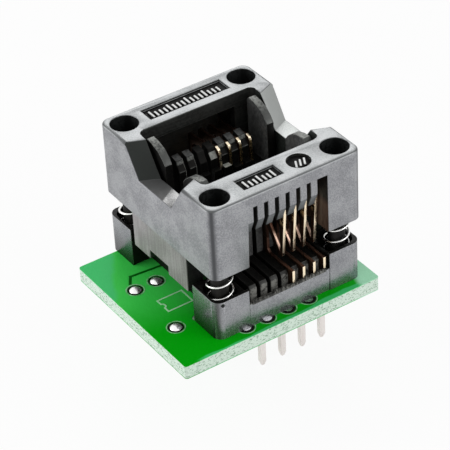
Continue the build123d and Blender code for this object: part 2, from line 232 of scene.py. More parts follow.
class Graph:
    """The node graph of one finish, or of the world."""

    def __init__(self, owner: bpy.types.Material | bpy.types.World) -> None:
        """Start from an empty graph."""
        owner.use_nodes = True
        self.owner = owner
        self.tree = owner.node_tree
        self.tree.nodes.clear()
        self._place: Wire | None = None

    def add(
        self,
        kind: str,
        settings: dict[str, object] | None = None,
        sockets: dict[str | int, Value] | None = None,
        output: str | int = 0,
    ) -> Wire:
        """Add any node.

        Args:
            kind: The node's type.
            settings: Attributes, which are set first.
            sockets: Values or wires of its inputs, by name or number.
            output: Which output to hand back.

        Returns:
            The chosen output.
        """
        node = self.tree.nodes.new(kind)
        for key, value in (settings or {}).items():
            setattr(node, key, value)
        for key, value in (sockets or {}).items():
            if isinstance(value, Wire):
                self.tree.links.new(value.socket, node.inputs[key])
            else:
                node.inputs[key].default_value = value
        return Wire(self, node.outputs[output])

    def place(self) -> Wire:
        """The surface point in the row frame, in metres."""
        if self._place is None:
            self._place = self.add("ShaderNodeTexCoord", output="Object")
        return self._place

    def axes(self) -> tuple[Wire, Wire, Wire]:
        """The surface point's X, Y and Z in millimetres about the socket axis."""
        split = self.add("ShaderNodeSeparateXYZ", None, {0: self.place()})
        return tuple(split.beside(i) / MM - place for i, place in enumerate(PLACE))

    def grain(
        self, size_mm: float, detail: float = 2.0, rough: float = 0.5, skew: Vector | None = None
    ) -> Wire:
        """A cloudy noise from 0 to 1.

        Args:
            size_mm: Width of its largest lumps.
            detail: Octaves of finer noise.
            rough: Weight of the finer noise.
            skew: Stretch along the three axes.

        Returns:
            The noise value.
        """
        spot = self.place()
        if skew is not None:
            spot = self.add("ShaderNodeVectorMath", {"operation": "MULTIPLY"}, {0: spot, 1: skew})
        wires = {"Vector": spot, "Scale": 1 / (size_mm * MM), "Detail": detail, "Roughness": rough}
        return self.add("ShaderNodeTexNoise", {"noise_dimensions": "3D"}, wires, "Fac")

    def tilt(self) -> Wire:
        """0 on faces square to the axes and 1 on the rounded edges between them, the mask of the painted
        round tone.
        """
        normal = self.add("ShaderNodeNewGeometry", output="Normal")
        split = self.add("ShaderNodeSeparateXYZ", None, {0: normal})
        x, y, z = (split.beside(i).size() for i in range(3))
        return self.ramp(x | y | z, 0.995, 0.74)

    def ramp(self, value: Wire, low: float, high: float, start: float = 0.0, end: float = 1.0) -> Wire:
        """value carried from the span low to high onto start to end, and held there outside."""
        wires = {"Value": value, "From Min": low, "From Max": high, "To Min": start, "To Max": end}
        return self.add("ShaderNodeMapRange", {"clamp": True, "interpolation_type": "SMOOTHSTEP"}, wires)

    def mix(self, under: Value, over: Value, mask: Value) -> Wire:
        """The colour under where the mask is 0 and over where it is 1."""
        return self.add("ShaderNodeMix", {"data_type": "RGBA"}, {0: mask, 6: under, 7: over}, 2)

    def bump(self, height: Wire, depth_mm: float) -> Wire:
        """A normal from a height of 0 to 1 that stands for depth_mm."""
        wires = {"Strength": 1.0, "Distance": depth_mm * MM, "Height": height}
        return self.add("ShaderNodeBump", None, wires, "Normal")

    def plainly_seen(self) -> Wire:
        """1 for what the camera, a mirror or a clear thing sees, and 0 for plain light."""
        camera = self.add("ShaderNodeLightPath", output="Is Camera Ray")
        return camera | camera.beside("Is Glossy Ray") | camera.beside("Is Transmission Ray")

    def finish(self, **sockets: Value) -> bpy.types.Material:
        """Close the graph with one principled surface.

        Args:
            sockets: Inputs of the surface, with underscores for the spaces of their names.

        Returns:
            The finished material.
        """
        wires = {key.replace("_", " "): value for key, value in sockets.items()}
        self.close(self.add("ShaderNodeBsdfPrincipled", None, wires), "ShaderNodeOutputMaterial")
        return self.owner

    def close(self, surface: Wire, kind: str) -> None:
        """Link a shader to a new output node of the given kind."""
        node = self.tree.nodes.new(kind)
        self.tree.links.new(surface.socket, node.inputs["Surface"])


@dataclass(frozen=True)
class SatinPlastic:
    """Moulding plastic with a grey sheen on its matt faces and a painted tone on its rounded edges, which
    paints in the shade and light that fall there.

    Attributes:
        name: Name of the material.
        base: Tone of the darker patches.
        light: Tone of the lighter patches.
        painted_round_tone: Tone painted on the rounded edges between faces, for the shade and light that
            fall there.
        roughness: Middle roughness.
        sheen: Metallic weight, which gives the grey sheen.
        ior: Index of refraction.
        grain_mm: Width of the fine grain.
        depth_mm: Height of the fine grain.
        speckle: Weight of the fine grain in the colour.
        lines: Weight of the drawn scratches.
        drawn: Stretch of the scratches along the three axes.
        painted_shade_heights: Heights from which and to which the colour sinks to black, a painted shade.
        dimple: Centre and radius of a small pit, darkened as painted shade.
        worn_end: Whether one end of the face has lost its polish.
    """

    name: str
    base: Tone
    light: Tone
    painted_round_tone: Tone
    roughness: float = 0.44
    sheen: float = 0.6
    ior: float = 1.6
    grain_mm: float = 0.16
    depth_mm: float = 0.012
    speckle: float = 0.6
    lines: float = 0.0
    drawn: tuple[float, float, float] = (1.0, 1.0, 0.03)
    painted_shade_heights: tuple[float, float] | None = None
    dimple: tuple[float, float, float, float] | None = None
    worn_end: bool = False

    def make(self) -> bpy.types.Material:
        """Build the finish."""
        g = Graph(bpy.data.materials.new(self.name))
        fine = g.grain(self.grain_mm, 3.0, 0.65)
        cloud = g.grain(2.4, 2.0, 0.5)
        mask = (g.ramp(fine, 0.34, 0.68) * self.speckle) + g.ramp(cloud, 0.3, 0.7, 0.0, 0.4)
        relief = fine
        if self.lines > 0:
            drawn = g.grain(0.22, 2.0, 0.5, Vector(self.drawn))
            mask = mask + (drawn - 0.5) * self.lines * 3.0
            relief = fine + drawn * self.lines * 4.0
        patches = g.mix(shade(*self.base), shade(*self.light), g.ramp(mask, 0.0, 1.0))
        # Painted shade on the rounded edges: the face's slope swaps in the painted round tone.
        colour = g.mix(patches, shade(*self.painted_round_tone), g.tilt())
        # Painted shade: the colour sinks to black over the given heights.
        if self.painted_shade_heights is not None:
            colour = g.mix(colour, shade(8, 8, 9), g.ramp(g.axes()[2], *self.painted_shade_heights))
        if self.dimple is not None:
            *centre, radius = self.dimple
            ends = {0: g.place(), 1: at(*centre)}
            away = g.add("ShaderNodeVectorMath", {"operation": "DISTANCE"}, ends, "Value")
            pit = g.ramp(away, radius * MM, radius * 0.7 * MM)
            # Painted shade in the pit.
            colour = g.mix(colour, shade(24, 24, 26), pit)
            relief = relief - pit * 3.0
        rough = g.ramp(fine, 0.3, 0.7, self.roughness - 0.06, self.roughness + 0.08)
        if self.worn_end:
            x, y, _ = g.axes()
            end = y * ((x < 0.0) * 2.0 - 1.0)
            rough = rough + g.ramp(x.size() * 0.537 + end * 0.844, 3.5, 3.8, 0.0, 0.4)
        return g.finish(
            Base_Color=colour,
            Roughness=rough,
            Metallic=self.sheen,
            IOR=self.ior,
            Normal=g.bump(relief, self.depth_mm),
        )


@dataclass(frozen=True)
class Metal:
    """A drawn, stamped or plated metal.

    Attributes:
        name: Name of the material.
        base: Linear colour of the clean metal.
        stain_and_shade: Linear colour of its stains, which on the brace and the dim contact ends is painted
            shade.
        roughness: Middle roughness.
        metallic: Metallic weight.
        streak: Weight of the stains.
        grain_mm: Width of the stains.
        skew: Stretch of the stains along the three axes.
        painted_shade_heights: Heights from which and to which the stain_and_shade colour takes over, as
            painted shade.
        glint: Heights between which painted gold glints come in.
    """

    name: str
    base: Colour
    stain_and_shade: Colour
    roughness: float = 0.3
    metallic: float = 1.0
    streak: float = 0.4
    grain_mm: float = 0.5
    skew: tuple[float, float, float] = (1.0, 1.0, 1.0)
    painted_shade_heights: tuple[float, float] | None = None
    glint: tuple[float, float] | None = None

    def make(self) -> bpy.types.Material:
        """Build the finish."""
        g = Graph(bpy.data.materials.new(self.name))
        fine = g.grain(self.grain_mm, 3.0, 0.6, Vector(self.skew))
        mask = g.ramp(fine, 0.42, 0.7) * self.streak
        rough = g.ramp(fine, 0.3, 0.7, self.roughness - 0.08, self.roughness + 0.1)
        # Painted shade: past the given heights the stain_and_shade colour takes over.
        if self.painted_shade_heights is not None:
            mask = mask | g.ramp(g.axes()[2], *self.painted_shade_heights)
        # Real stains and painted shade share the stain_and_shade colour.
        colour = g.mix(self.base, self.stain_and_shade, mask)
        if self.glint is not None:
            # Painted highlight: gold glints in a band of heights.
            painted_glints = g.ramp(g.grain(0.9, 3.0, 0.6), 0.5, 0.56) & g.ramp(g.axes()[2], *self.glint)
            colour = g.mix(colour, (1.0, 0.74, 0.40, 1), painted_glints)
        return g.finish(
            Base_Color=colour,
            Roughness=rough,
            Metallic=self.metallic,
            Normal=g.bump(fine, 0.004),
        )


@dataclass(frozen=True)
class BoardFinish:
    """Green mask over copper on the faces of the board, paler in places as painted sheen, with pale glass
    laminate at its sawn edges.
    """

    name: str = "board_laminate"
    mask_green: Colour = shade(0, 174, 10)
    far_sheen_green: Colour = shade(66, 220, 86)
    sheen_mint: Colour = shade(72, 212, 122)
    glare_mint: Colour = shade(176, 240, 200)
    gap_green: Colour = shade(0, 96, 12)
    fibre: Colour = shade(226, 244, 230)
    fibre_dark: Colour = shade(140, 172, 146)
    half_thick: float = 0.8
    gap: tuple[tuple[float, float], ...] = ((-10.79, 3.3), (-10.11, 4.34), (-6.0, 3.97))

    def make(self) -> bpy.types.Material:
        """Build the finish."""
        g = Graph(bpy.data.materials.new(self.name))
        x, y, z = g.axes()
        cloud = g.grain(3.0, 2.0, 0.5)
        fine = g.grain(0.35, 3.0, 0.6)
        left = g.ramp(x * 0.876 - y * 0.482 + cloud * 1.6, -11.5, -12.3)
        right = g.ramp(x * 0.98 - y * 0.2 + cloud * 1.4, 10.3, 11.0)
        border = g.ramp(y + cloud * 0.7 - x * 0.02, -10.45, -10.62) & g.ramp(x, -12.4, -11.0)
        # Painted sheen: the green pales towards the rear, the left, the front border and the right corner.
        face = g.mix(self.mask_green, self.far_sheen_green, g.ramp(y + x * 0.3 + cloud * 2.0, -9.0, 0.0))
        face = g.mix(g.mix(face, self.sheen_mint, (left | border) * 0.9), self.glare_mint, right)
        line = self._gap_mask(g, x, y)
        face = g.mix(face, self.gap_green, line)
        weave = g.grain(0.3, 4.0, 0.75, Vector((1.0, 1.0, 1.8)))
        low = g.ramp(z + g.grain(0.5, 2.0, 0.6) * 0.5, -1.15, -1.45)
        edge = g.mix(self.fibre, self.fibre_dark, g.ramp(weave, 0.5, 0.64) | low * 0.8)
        rim = g.ramp((z + self.half_thick).size(), 0.7, 0.76)
        colour = g.mix(edge, face, rim)
        relief = g.ramp(fine, 0.3, 0.7) * 0.5 - line
        return g.finish(
            Base_Color=colour,
            Roughness=g.ramp(rim, 0.0, 1.0, 0.7, 0.4),
            IOR=1.12,
            Normal=g.bump(relief, 0.02),
        )

    def _gap_mask(self, g: Graph, x: Wire, y: Wire) -> Wire:
        """The narrow gap in the copper beside the first hole, as a mask.

        Args:
            g: The finish's graph.
            x: Place along X in millimetres.
            y: Place along Y in millimetres.

        Returns:
            1 in the gap and 0 beside it.
        """
        mask: Wire | None = None
        for (x0, y0), (x1, y1) in zip(self.gap, self.gap[1:]):
            length = math.hypot(x1 - x0, y1 - y0)
            ux, uy = (x1 - x0) / length, (y1 - y0) / length
            along = (x - x0) * ux + (y - y0) * uy
            across = ((y - y0) * ux - (x - x0) * uy).size()
            over = (along - length / 2).size() - length / 2
            part = g.ramp(over | across, 0.2, 0.12)
            mask = part if mask is None else mask | part
        return mask


class Finish:
    """Every finish of the object, made once."""

    def __init__(self) -> None:
        """Build the materials."""
        self.satin = SatinPlastic("cover_satin", (128, 129, 133), (168, 169, 172), (74, 75, 78)).make()
        # Copy of the satin for the top faces, toned for the light that falls on the top: painted light.
        self.top = SatinPlastic(
            "cover_top_painted_light", (138, 141, 142), (172, 174, 175), (88, 90, 91),
            roughness=0.42, sheen=0.55, grain_mm=0.17, speckle=0.75,
        ).make()
        self.tooth = SatinPlastic(
            "comb_tooth_satin", (84, 86, 89), (118, 120, 123), (70, 72, 74), roughness=0.46, sheen=0.5
        ).make()
        self.lined = SatinPlastic(
            "cover_leg_lined", (132, 124, 128), (168, 162, 165), (80, 82, 80),
            roughness=0.5, sheen=0.12, lines=0.6,
        ).make()
        self.base = SatinPlastic(
            "base_satin", (128, 129, 133), (158, 159, 162), (98, 98, 100),
            roughness=0.28, sheen=0.8, speckle=0.7, dimple=(-8.08, -10.1, 4.15, 0.27),
        ).make()
        # Copy of the base satin for the faces turned along X, with darker rounded edges and darker towards
        # the board: painted shade.
        self.side = SatinPlastic(
            "base_side_painted_shade", (126, 128, 132), (156, 158, 161), (80, 81, 82),
            roughness=0.28, sheen=0.8, speckle=0.7, painted_shade_heights=(4.2, -0.6),
        ).make()
        # Speckled grey copy for the fin crests and head bevels that face up: painted light.
        self.crest = SatinPlastic(
            "crest_painted_light_grey", (44, 46, 44), (122, 124, 120), (66, 68, 66),
            roughness=0.42, sheen=0.5, grain_mm=0.3, depth_mm=0.03, speckle=1.0,
        ).make()
        # Patchy grey on black for the ragged rib ends and the moulding flash: partly their rough texture,
        # partly painted light on them.
        self.knob = SatinPlastic(
            "rib_end_ragged_painted_light", (12, 12, 12), (124, 124, 119), (40, 40, 38),
            roughness=0.5, sheen=0.1, ior=1.35, grain_mm=0.5, depth_mm=0.06, speckle=1.0,
        ).make()
        # Pale copy for edges and heads that catch the light: painted highlight.
        self.pale = SatinPlastic(
            "guide_top_painted_highlight", (150, 154, 148), (206, 208, 200), (120, 122, 118),
            roughness=0.45, sheen=0.1, ior=1.5, grain_mm=0.3, speckle=1.0,
        ).make()
        # Near-black copy for the faces inside the cover, where the moulding is shaded: painted shade.
        self.inner = SatinPlastic(
            "moulding_inner_painted_shade", (26, 27, 26), (46, 47, 45), (50, 51, 48),
            roughness=0.45, sheen=0.0, ior=1.35, grain_mm=0.2, lines=0.5, drawn=(0.04, 1.0, 1.0),
        ).make()
        # Dark copy for the inner faces of the bars across the opening: painted shade.
        self.bar = SatinPlastic(
            "bar_inner_painted_shade", (62, 65, 62), (92, 95, 90), (62, 64, 61),
            roughness=0.45, sheen=0.0, ior=1.4, grain_mm=0.24, lines=0.3, drawn=(0.04, 1.0, 1.0),
        ).make()
        # Dark copy for the notch slopes, which turn away from the lamps: painted shade.
        self.dip = SatinPlastic(
            "dip_painted_shade_grey", (26, 29, 27), (52, 56, 53), (46, 49, 47),
            roughness=0.4, sheen=0.05, ior=1.25, grain_mm=0.2, depth_mm=0.01,
        ).make()
        # Pale copy for the floor and rear slope of the right notch, for the light those faces catch:
        # painted light.
        self.painted_light_dip = SatinPlastic(
            "dip_painted_light_pale", (176, 180, 178), (214, 217, 215), (150, 153, 151),
            roughness=0.42, sheen=0.45,
        ).make()
        self.floor = SatinPlastic(
            "dip_floor_polished", (12, 14, 14), (22, 24, 24), (18, 20, 20),
            roughness=0.14, sheen=0.05, ior=1.9, grain_mm=0.5, depth_mm=0.002, worn_end=True,
        ).make()
        # Near-black copy for the base's inner faces, ribs and seat guides: painted shade inside the
        # moulding.
        self.rib = SatinPlastic(
            "rib_black_painted_shade", (10, 10, 10), (22, 22, 20), (40, 39, 37),
            roughness=0.42, sheen=0.0, ior=1.2, grain_mm=0.2,
        ).make()
        # Grey copy for rib head tops, the seat wall, the block rims and inside the right fins: painted
        # light on the black plastic.
        self.head = SatinPlastic(
            "rib_head_painted_light_grey", (44, 45, 45), (84, 85, 84), (60, 61, 60),
            roughness=0.45, sheen=0.2, ior=1.5, grain_mm=0.3,
        ).make()
        # Brown copy for the inner side faces of the columns beside the window: painted reflection of the
        # gold contacts, black towards the top as painted shade.
        self.jamb = SatinPlastic(
            "jamb_painted_reflection_and_shade", (64, 45, 37), (90, 68, 56), (64, 45, 37),
            roughness=0.45, sheen=0.1, ior=1.5, grain_mm=0.3, lines=0.3, painted_shade_heights=(10.4, 11.6),
        ).make()
        # Near-black copy for the shallow recesses in the top: painted shade.
        self.recess = SatinPlastic(
            "recess_painted_shade", (14, 14, 14), (26, 26, 26), (20, 20, 20),
            roughness=0.5, sheen=0.0, ior=1.15, grain_mm=0.2,
        ).make()
        # Near-black copy for the corner wells: painted shade down the wells.
        self.well = SatinPlastic(
            "well_painted_shade", (14, 15, 15), (38, 40, 40), (18, 19, 19),
            roughness=0.5, sheen=0.0, ior=1.15, grain_mm=0.3, speckle=1.0,
        ).make()
        self.stroke = SatinPlastic(
            "raised_stroke_light", (240, 242, 241), (252, 252, 252), (210, 212, 211),
            roughness=0.5, sheen=0.0, ior=1.4,
        ).make()
        self.strip = SatinPlastic(
            "header_strip_black", (20, 20, 20), (40, 40, 40), (40, 40, 40), roughness=0.45, sheen=0.0
        ).make()
        self.ink = SatinPlastic(
            "printed_ink", (172, 240, 182), (204, 248, 208), (172, 240, 182),
            roughness=0.6, sheen=0.0, ior=1.3,
        ).make()
        self.steel = Metal(
            "spring_steel", (0.86, 0.86, 0.84, 1), (0.45, 0.44, 0.42, 1), roughness=0.22
        ).make()
        self.gold = Metal(
            "contact_gold", (1.0, 0.86, 0.64, 1), (0.72, 0.50, 0.28, 1), roughness=0.3, streak=0.25
        ).make()
        # Rose copy for the slanted brace faces that catch the light, dark above in the comb's shade:
        # painted light and painted shade.
        self.brace = Metal(
            "contact_brace_painted_light_and_shade", (0.80, 0.55, 0.42, 1), (0.06, 0.03, 0.02, 1),
            roughness=0.35, painted_shade_heights=(6.7, 7.5),
        ).make()
        # Dark brown copies of the gold for the edges and flanks of the contacts: painted shade.
        self.dim = Metal(
            "contact_edge_painted_shade", (0.13, 0.07, 0.05, 1), (0.05, 0.025, 0.02, 1), roughness=0.45
        ).make()
        self.flank = Metal(
            "contact_flank_painted_shade", (0.09, 0.05, 0.03, 1), (0.03, 0.015, 0.01, 1), roughness=0.5
        ).make()
        # Front-row flanks: painted shade with painted glints.
        self.lit_flank = Metal(
            "contact_flank_painted_shade_and_glints", (0.09, 0.05, 0.03, 1), (0.03, 0.015, 0.01, 1),
            roughness=0.5, glint=(8.9, 9.4),
        ).make()
        self.pin = Metal(
            "header_pin_tin", (0.86, 0.80, 0.78, 1), (0.70, 0.62, 0.60, 1),
            roughness=0.42, metallic=0.6, streak=0.4, grain_mm=0.6, skew=(1, 1, 0.2),
        ).make()
        # Gold with near-black patches for the inner ends of the arms, which sit dim in the cavity: painted
        # shade.
        self.worn = Metal(
            "contact_gold_painted_shade_patches", (0.95, 0.72, 0.36, 1), (0.03, 0.016, 0.01, 1),
            roughness=0.28, streak=1.0, grain_mm=0.9,
        ).make()
        self.pad = SatinPlastic(
            "pad_dark", (12, 14, 12), (34, 36, 32), (12, 12, 12),
            roughness=0.5, sheen=0.0, ior=1.12, grain_mm=0.3,
        ).make()
        self.rim = Metal(
            "pad_rim_pale", (0.34, 0.62, 0.38, 1), (0.05, 0.30, 0.07, 1),
            roughness=0.5, metallic=0.0, streak=1.0,
        ).make()
        self.solder = Metal(
            "solder_bright", (1.0, 1.0, 1.0, 1), (0.94, 0.94, 0.94, 1), roughness=0.22, metallic=0.8
        ).make()
        self.board = BoardFinish().make()


def soften(bm: bmesh.types.BMesh, width: float, least: float) -> None:
    """Round the sharp edges of a mesh.

    Args:
        bm: The mesh, in metres.
        width: Width of the rounding in millimetres.
        least: Edges shorter than this, in millimetres, stay sharp.
    """
    sharp = math.radians(30)
    edges = [
        e
        for e in bm.edges
        if len(e.link_faces) == 2 and e.calc_face_angle(0.0) > sharp and e.calc_length() > least * MM
    ]
    bmesh.ops.bevel(
        bm, geom=edges, offset=width * MM, offset_type="OFFSET", segments=2, profile=0.5,
        affect="EDGES", clamp_overlap=False, miter_outer="SHARP",
    )


def band(bm: bmesh.types.BMesh, low: list[bmesh.types.BMVert], high: list[bmesh.types.BMVert]) -> None:
    """Join two closed rings of as many vertices with a band of faces.

    Args:
        bm: The mesh that holds both rings.
        low: The first ring.
        high: The second ring.
    """
    for k in range(len(low)):
        j = (k + 1) % len(low)
        bm.faces.new((low[k], low[j], high[j], high[k]))


def linked(bm: bmesh.types.BMesh, name: str) -> bpy.types.Object:
    """Turn a finished mesh into an object of the scene.

    Args:
        bm: The mesh, which is freed.
        name: Name of the object and of its mesh.

    Returns:
        The new object.
    """
    mesh = bpy.data.meshes.new(name)
    bm.to_mesh(mesh)
    bm.free()
    piece = bpy.data.objects.new(name, mesh)
    bpy.context.scene.collection.objects.link(piece)
    return piece


def carried(frame: dict, node: str, name: str, width: float, least: float) -> bpy.types.Object:
    """A copy of a node's mesh as an object of its own, with whole flat faces and rounded edges.

    Args:
        node: The CAD node.
        name: Name of the new piece.
        width: Width of the rounding in millimetres.
        least: Edges shorter than this, in millimetres, stay sharp.

    Returns:
        The new object, linked to the scene.
    """
    mesh = frame["nodes"][node].data.copy()
    mesh.name = name
    bm = bmesh.new()
    bm.from_mesh(mesh)
    bmesh.ops.remove_doubles(bm, verts=bm.verts, dist=1e-6)
    bmesh.ops.dissolve_limit(bm, angle_limit=math.radians(0.4), verts=bm.verts, edges=bm.edges)
    bm.to_mesh(mesh)
    bm.clear()
    bm.from_mesh(mesh)
    soften(bm, width, least)
    bm.to_mesh(mesh)
    bm.free()
    piece = bpy.data.objects.new(name, mesh)
    bpy.context.scene.collection.objects.link(piece)
    return piece


def dress(
    piece: bpy.types.Object,
    finishes: list[bpy.types.Material],
    choose: Callable[[Vector, Vector], int] | None = None,
) -> None:
    """Give a piece its finishes.

    Args:
        piece: The object.
        finishes: Its materials.
        choose: Picks the material's number from a face's centre, in millimetres about the socket axis,
            and its normal. Without it each face takes the first.
    """
    mesh = piece.data
    mesh.materials.clear()
    for finish in finishes:
        mesh.materials.append(finish)
    for polygon in mesh.polygons:
        centre = polygon.center / MM - Vector(PLACE)
        polygon.material_index = int(choose(centre, polygon.normal)) if choose else 0


def smooth(piece: bpy.types.Object) -> None:
    """Shade a piece smooth where its faces meet at less than 32 degrees."""
    piece.data.shade_smooth()
    piece.data.set_sharp_from_angle(angle=math.radians(32.0))


@dataclass
class Cover:
    """The sprung frame with its notches, recesses, combs and legs.

    Sizes are in millimetres about the socket axis. Circles are X, Y and radius, and boxes are the
    lowest and highest X, then the lowest and highest Y.
    """

    half_y: float = 10.15
    top: float = 15.8
    skirt: float = 7.45
    wall_x: float = 8.9
    leg_x: float = 8.8
    open_x: float = 6.97
    open_y: float = 5.95
    bar_low: float = 13.9
    dip_floor: float = 12.35
    dip_x: float = 8.93
    dip_y: float = 5.5
    jamb_x: tuple[float, float] = (4.6, 4.9)
    jamb_y: float = 7.4
    jamb_top: float = 14.3
    comb_x: float = 4.9
    comb_y: float = 9.0
    corner: tuple[float, float, float] = (8.0, 9.15, 0.9)
    well: tuple[float, float, float] = (7.14, 8.15, 1.52)
    recess_boxes: tuple[tuple[float, float, float, float], ...] = (
        (-4.62, 4.99, 7.08, 9.1), (-4.17, 0.47, -8.9, -7.05),
    )
    round_recess: tuple[float, float, float] = (2.84, -8.06, 1.26)
    edge: float = 0.07

    def build(self, frame: dict, finish: Finish) -> bpy.types.Object:
        """Build the cover piece."""
        piece = carried(frame, "cover", "cover_moulding", self.edge, 0.2)
        looks = [
            finish.satin, finish.inner, finish.dip, finish.recess, finish.stroke, finish.lined,
            finish.jamb, finish.bar, finish.floor, finish.well, finish.top, finish.tooth, finish.painted_light_dip,
        ]
        dress(piece, looks, self.pick)
        smooth(piece)
        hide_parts("cover")
        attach(piece, Body.COVER.value)
        return piece

    def in_recess(self, x: float, y: float) -> bool:
        """Whether a point of the plan lies in one of the three shallow recesses."""
        if any(x0 < x < x1 and y0 < y < y1 for x0, x1, y0, y1 in self.recess_boxes):
            return True
        middle_x, middle_y, radius = self.round_recess
        return math.hypot(x - middle_x, y - middle_y) < radius

    def in_well(self, x: float, y: float, z: float) -> bool:
        """Whether a point, with X and Y without their signs, lies in a corner well under its rounding."""
        middle_x, middle_y, radius = self.well
        inside = math.hypot(x - middle_x, y - middle_y) < radius
        return inside and self.skirt + 0.3 < z < self.top - 0.075

    def in_notch(self, x: float, y: float, z: float) -> bool:
        """Whether a point, with X and Y without their signs, lies inside one of the two notches."""
        inside = self.open_x - 0.05 < x < self.dip_x and y < self.dip_y
        return inside and self.dip_floor - 0.1 < z < self.top - 0.09

    def pick(self, c: Vector, n: Vector) -> CoverFace:
        """The kind of a face.

        Args:
            c: Centre of the face, in millimetres about the socket axis.
            n: Its normal.

        Returns:
            The kind, which gives the finish.
        """
        x, y = abs(c.x), abs(c.y)
        # The top faces take the copy toned for the light on the top (painted light).
        if n.z > 0.9 and c.z > self.top - 0.008:
            return CoverFace.TOP
        # Recess faces take the painted-shade copy; the raised strokes in them keep their light finish.
        if self.in_recess(c.x, c.y) and c.z > self.top - 0.4:
            return CoverFace.STROKE if c.z > self.top - 0.12 and n.z > 0.3 else CoverFace.RECESS
        # Corner wells take the painted-shade copy.
        if self.in_well(x, y, c.z):
            return CoverFace.WELL
        if c.z < self.skirt - 0.02 and x > self.leg_x:
            return CoverFace.LEG
        # The column faces beside the window take the painted reflection and shade copy.
        in_jamb = self.jamb_x[0] < x < self.jamb_x[1] and y > self.jamb_y and c.z < self.jamb_top
        if in_jamb and abs(n.x) > 0.7:
            return CoverFace.JAMB
        # Inner faces of the bars take their painted-shade copy.
        if abs(y - self.open_y) < 0.03 and abs(n.y) > 0.7 and c.z > self.bar_low:
            return CoverFace.BAR
        if self.in_notch(x, y, c.z):
            # The right notch's floor and rear slope take the painted-light copy.
            if c.x > 0 and (n.z > 0.9 or n.y < -0.3):
                return CoverFace.PAINTED_LIGHT_NOTCH
            # Left notch: polished floor, and the painted-shade copy on its slopes.
            return CoverFace.NOTCH_FLOOR if n.z > 0.9 else CoverFace.NOTCH
        # Upper rounded edges also take the top's painted-light copy.
        if c.z > self.top - 0.35 and n.z > 0.25:
            return CoverFace.TOP
        if x > self.wall_x or y > self.half_y - 0.1 or c.z > self.top - 0.09:
            return CoverFace.OUTER
        if math.hypot(max(x - self.corner[0], 0), max(y - self.corner[1], 0)) > self.corner[2]:
            return CoverFace.OUTER
        if c.y < -self.comb_y and x < self.comb_x and n.y < -0.4:
            return CoverFace.TOOTH
        # All other inner faces take the painted-shade copy.
        return CoverFace.INNER


@dataclass
class Base:
    """The fixed moulding: corner blocks with spring pockets, channel ribs, seat and guide fins.

    Sizes are in millimetres about the socket axis. The pocket is X, Y and radius.
    """

    ribs_high: float = 11.2
    fin_x: float = 5.5
    rib_x: float = 4.4
    rib_end: float = 8.7
    rib_low: float = 2.1
    seat_wall: tuple[float, float] = (4.3, 5.0)
    rim_x: float = 8.5
    rim_y: float = 9.55
    rim_z: float = 4.5
    block_x: float = 8.8
    block_y: float = 9.75
    pocket: tuple[float, float, float] = (7.87, 9.05, 0.85)
    edge: float = 0.06

    def build(self, frame: dict, finish: Finish) -> bpy.types.Object:
        """Build the base piece."""
        piece = carried(frame, "socket_base", "socket_base_moulding", self.edge, 0.2)
        looks = [finish.base, finish.rib, finish.head, finish.crest, finish.knob, finish.pale, finish.side]
        dress(piece, looks, self.pick)
        smooth(piece)
        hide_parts("socket_base")
        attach(piece, Body.ADAPTER.value)
        return piece

    def pick(self, c: Vector, n: Vector) -> BaseFace:
        """The kind of a face.

        Args:
            c: Centre of the face, in millimetres about the socket axis.
            n: Its normal.

        Returns:
            The kind, which gives the finish.
        """
        x, y, out = abs(c.x), abs(c.y), outward(c, n)
        if c.z > self.ribs_high:
            return self.pick_fin(c, n) if x > self.fin_x else self.pick_head(c, n)
        # Painted highlight on the upright inner edges of the first two far-row ribs.
        if self.painted_highlight_arris(c, n):
            return BaseFace.PALE
        # Rib ends take the ragged patchy grey, partly painted light.
        if x < self.rib_x and y > self.rib_end and c.z > self.rib_low:
            ragged_lit_end = (out > 0.2 and c.z > 2.5) or (y > 9.0 and n.z > 0.5)
            return BaseFace.RAGGED_LIT_END if ragged_lit_end else BaseFace.BLACK
        # Seat wall faces and the block rims take the painted-light grey.
        if x < self.rib_x and c.z > 4.1 and self.seat_wall[0] < y < self.seat_wall[1] and out > 0.5:
            return BaseFace.HEAD
        if c.z > self.rim_z and n.z > 0.3 and (x > self.rim_x or y > self.rim_y):
            return BaseFace.HEAD
        if x > self.block_x or y > self.block_y:
            # Faces turned along X take the painted-shade copy.
            return BaseFace.SIDE if abs(n.x) > 0.9 else BaseFace.OUTER
        middle_x, middle_y, radius = self.pocket
        if x > 7.7 and y > 8.9 and n.z < 0.5 and math.hypot(x - middle_x, y - middle_y) > radius:
            return BaseFace.OUTER
        # All other faces take the painted-shade black.
        return BaseFace.BLACK

    @staticmethod
    def pick_fin(c: Vector, n: Vector) -> BaseFace:
        """The kind of a guide fin's face: painted light on the speckled crest and inside the right fins."""
        if n.z > 0.2:
            return BaseFace.CREST
        return BaseFace.HEAD if c.x > 0 and n.x < -0.7 else BaseFace.BLACK

    def pick_head(self, c: Vector, n: Vector) -> BaseFace:
        """The kind of a rib head's face: painted light on the tops and bevels, a painted highlight on the
        middle head of the far row and painted shade on the one before it.
        """
        out = outward(c, n)
        if self.painted_highlight_arris(c, n):
            return BaseFace.PALE
        if c.y > 0 and -0.6 < c.x < 0.6:
            return BaseFace.PALE if c.z < 11.8 and out < -0.5 and n.z > 0.4 else BaseFace.BLACK
        if n.z > 0.9:
            # The far-row head before the middle one stays black as painted shade.
            return BaseFace.BLACK if c.y > 0 and -1.9 < c.x < -0.6 else BaseFace.HEAD
        bevel = 0.12 < n.z < 0.5 and out < -0.5
        return BaseFace.CREST if bevel and not (c.y > 0 and -1.9 < c.x < 0) else BaseFace.BLACK

    @staticmethod
    def painted_highlight_arris(c: Vector, n: Vector) -> bool:
        """Whether a face is the upright inner edge of one of the first two ribs of the far row, which takes
        a painted highlight.
        """
        return -3.6 < c.x < -2.0 and 2.75 < c.y < 3.5 and c.z > 9.2 and n.x > 0.3 and n.y < -0.3


